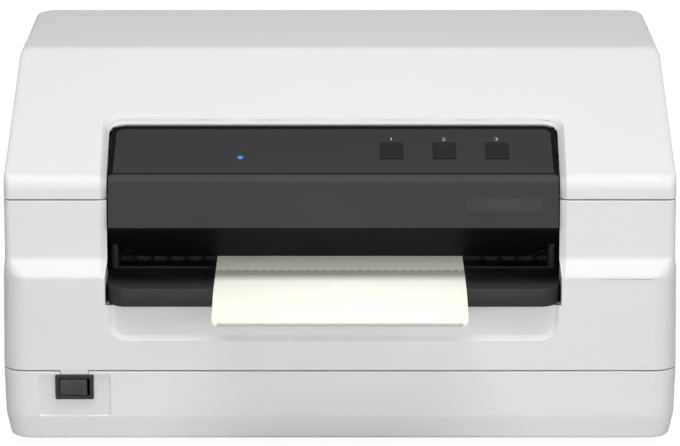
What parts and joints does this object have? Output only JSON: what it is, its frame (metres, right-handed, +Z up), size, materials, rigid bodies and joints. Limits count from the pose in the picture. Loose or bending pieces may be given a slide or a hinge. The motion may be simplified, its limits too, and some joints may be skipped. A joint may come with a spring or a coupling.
{
  "type": "dot matrix printer",
  "caption": "Flatbed dot matrix printer for passbooks and forms, with a rear hinged top cover, dark control panel, front tray and loaded sheet.",
  "frame": {"origin": "on the surface the machine stands on, under the middle of the machine with its passbook loaded", "axes": "+X to the machine's right as seen from the front, +Y to the back, +Z up"},
  "size_m": [0.384, 0.33, 0.203],
  "materials": {
    "white_plastic": "fine moulded grain",
    "black_plastic": "fine grain",
    "panel_plastic": "satin, fine grain",
    "button_plastic": "satin",
    "label_film": "matte",
    "blue_lamp": "clear lens, lit blue",
    "grey_lamp": "clear lens, unlit",
    "circuit_board": "green solder mask",
    "paper": "cream, uncoated",
    "foot_rubber": "matte",
    "roller_rubber": "ground",
    "zinc_steel": "zinc plated sheet",
    "ground_steel": "ground and polished",
    "bronze": "sintered",
    "dark_metal": "black anodised",
    "belt_rubber": "ribbed",
    "gear_plastic": "natural acetal",
    "ribbon_fabric": "inked nylon",
    "connector": "plated shell"
  },
  "bodies": {
    "root": {"base_pan": "white_plastic", "main_housing": "white_plastic", "front_tray": "black_plastic", "switch_body": "black_plastic", "rubber_feet": "foot_rubber", "lower_frame": "zinc_steel", "left_side_plate": "zinc_steel", "right_side_plate": "zinc_steel", "guide_shaft": "ground_steel", "rear_rail": "zinc_steel", "timing_belt": "belt_rubber", "carriage_motor": "dark_metal", "idler_axle": "ground_steel", "platen": "roller_rubber", "shaft_bearings": "bronze", "idler_studs": "ground_steel", "feed_motor": "dark_metal", "lower_guide": "black_plastic", "front_upper_guide": "black_plastic", "rear_upper_guide": "black_plastic", "ribbon_cartridge": "black_plastic", "ink_ribbon": "ribbon_fabric", "main_board": "circuit_board", "power_board": "circuit_board", "mains_inlet": "black_plastic", "interface_ports": "connector", "hinge_pins": "ground_steel", "casing_screws": "zinc_steel", "frame_screws": "zinc_steel", "board_screws": "zinc_steel"},
    "cover": {"top_cover": "white_plastic", "control_panel": "panel_plastic", "blank_label": "label_film", "power_lamp": "blue_lamp", "panel_lamps": "grey_lamp", "panel_board": "circuit_board"},
    "button_1": {"button_1": "button_plastic"},
    "button_2": {"button_2": "button_plastic"},
    "button_3": {"button_3": "button_plastic"},
    "power_rocker": {"power_rocker": "black_plastic"},
    "carriage": {"carriage": "black_plastic", "carriage_bushes": "bronze", "print_head": "dark_metal"},
    "drive_pulley": {"drive_pulley": "ground_steel"},
    "idler_pulley": {"idler_pulley": "gear_plastic"},
    "front_feed_roller": {"front_feed_shaft": "ground_steel", "front_feed_tyres": "roller_rubber", "front_roller_gear": "gear_plastic"},
    "rear_feed_roller": {"rear_feed_shaft": "ground_steel", "rear_feed_tyres": "roller_rubber", "rear_roller_gear": "gear_plastic"},
    "front_press_roller": {"front_press_roller": "roller_rubber"},
    "rear_press_roller": {"rear_press_roller": "roller_rubber"},
    "front_idler": {"front_idler_gear": "gear_plastic"},
    "rear_idler": {"rear_idler_gear": "gear_plastic"},
    "feed_pinion": {"feed_pinion": "bronze"},
    "alignment_gate": {"alignment_gate": "zinc_steel"},
    "passbook": {"passbook": "paper"},
    "ribbon_knob": {"ribbon_knob": "button_plastic"}
  },
  "joints": [
    {"name": "cover_hinge", "type": "hinge", "parent": "root", "child": "cover", "pos_m": [0, 0.1625, 0.143], "axis": [-1, 0, 0], "range_deg": [0, 68]},
    {"name": "button_1_press", "type": "slide", "parent": "cover", "child": "button_1", "axis": [0, 0.3214, -0.9469], "range_m": [0, 0.001], "stiffness_N_per_m": 300, "springref_m": -0.002},
    {"name": "button_2_press", "type": "slide", "parent": "cover", "child": "button_2", "axis": [0, 0.3214, -0.9469], "range_m": [0, 0.001], "stiffness_N_per_m": 300, "springref_m": -0.002},
    {"name": "button_3_press", "type": "slide", "parent": "cover", "child": "button_3", "axis": [0, 0.3214, -0.9469], "range_m": [0, 0.001], "stiffness_N_per_m": 300, "springref_m": -0.002},
    {"name": "power_switch", "type": "hinge", "parent": "root", "child": "power_rocker", "pos_m": [-0.1511, -0.11, 0.0356], "axis": [0, 0, 1], "range_deg": [0, 12]},
    {"name": "carriage_slide", "type": "slide", "parent": "root", "child": "carriage", "axis": [1, 0, 0], "range_m": [-0.1194, 0.1194]},
    {"name": "drive_pulley_spin", "type": "hinge", "parent": "root", "child": "drive_pulley", "pos_m": [-0.14, 0.04, 0.127], "axis": [0, 1, 0], "range_deg": [-870, 870]},
    {"name": "idler_pulley_spin", "type": "hinge", "parent": "root", "child": "idler_pulley", "pos_m": [0.1328, 0.04, 0.127], "axis": [0, 1, 0], "range_deg": [-870, 870]},
    {"name": "front_feed_spin", "type": "hinge", "parent": "root", "child": "front_feed_roller", "pos_m": [0, -0.015, 0.084], "axis": [1, 0, 0], "continuous": true},
    {"name": "rear_feed_spin", "type": "hinge", "parent": "root", "child": "rear_feed_roller", "pos_m": [0, 0.075, 0.084], "axis": [1, 0, 0], "continuous": true},
    {"name": "front_press_spin", "type": "hinge", "parent": "root", "child": "front_press_roller", "pos_m": [0, -0.015, 0.1046], "axis": [1, 0, 0], "continuous": true},
    {"name": "rear_press_spin", "type": "hinge", "parent": "root", "child": "rear_press_roller", "pos_m": [0, 0.075, 0.1046], "axis": [1, 0, 0], "continuous": true},
    {"name": "front_idler_spin", "type": "hinge", "parent": "root", "child": "front_idler", "pos_m": [0.16, 0.01085, 0.07621], "axis": [1, 0, 0], "continuous": true},
    {"name": "rear_idler_spin", "type": "hinge", "parent": "root", "child": "rear_idler", "pos_m": [0.16, 0.04915, 0.07621], "axis": [1, 0, 0], "continuous": true},
    {"name": "feed_pinion_spin", "type": "hinge", "parent": "root", "child": "feed_pinion", "pos_m": [0.16, 0.03, 0.07043], "axis": [1, 0, 0], "continuous": true},
    {"name": "gate_drop", "type": "slide", "parent": "root", "child": "alignment_gate", "axis": [0, 0, -1], "range_m": [0, 0.005], "stiffness_N_per_m": 200, "springref_m": -0.006},
    {"name": "passbook_pull", "type": "slide", "parent": "root", "child": "passbook", "axis": [0, -1, 0], "range_m": [0, 0.1]},
    {"name": "ribbon_knob_spin", "type": "hinge", "parent": "root", "child": "ribbon_knob", "pos_m": [-0.1196, 0.063, 0.17], "axis": [0, 0, 1], "continuous": true}
  ],
  "couplings": [
    {"joint": "drive_pulley_spin", "follows": "carriage_slide", "rad_per_m": -126.58},
    {"joint": "idler_pulley_spin", "follows": "carriage_slide", "rad_per_m": -126.58},
    {"joint": "rear_feed_spin", "follows": "front_feed_spin", "ratio": 1},
    {"joint": "front_idler_spin", "follows": "front_feed_spin", "ratio": -1.25},
    {"joint": "rear_idler_spin", "follows": "front_feed_spin", "ratio": -1.25},
    {"joint": "feed_pinion_spin", "follows": "front_feed_spin", "ratio": 1.875},
    {"joint": "front_press_spin", "follows": "front_feed_spin", "ratio": -1.25},
    {"joint": "rear_press_spin", "follows": "front_feed_spin", "ratio": -1.25}
  ]
}
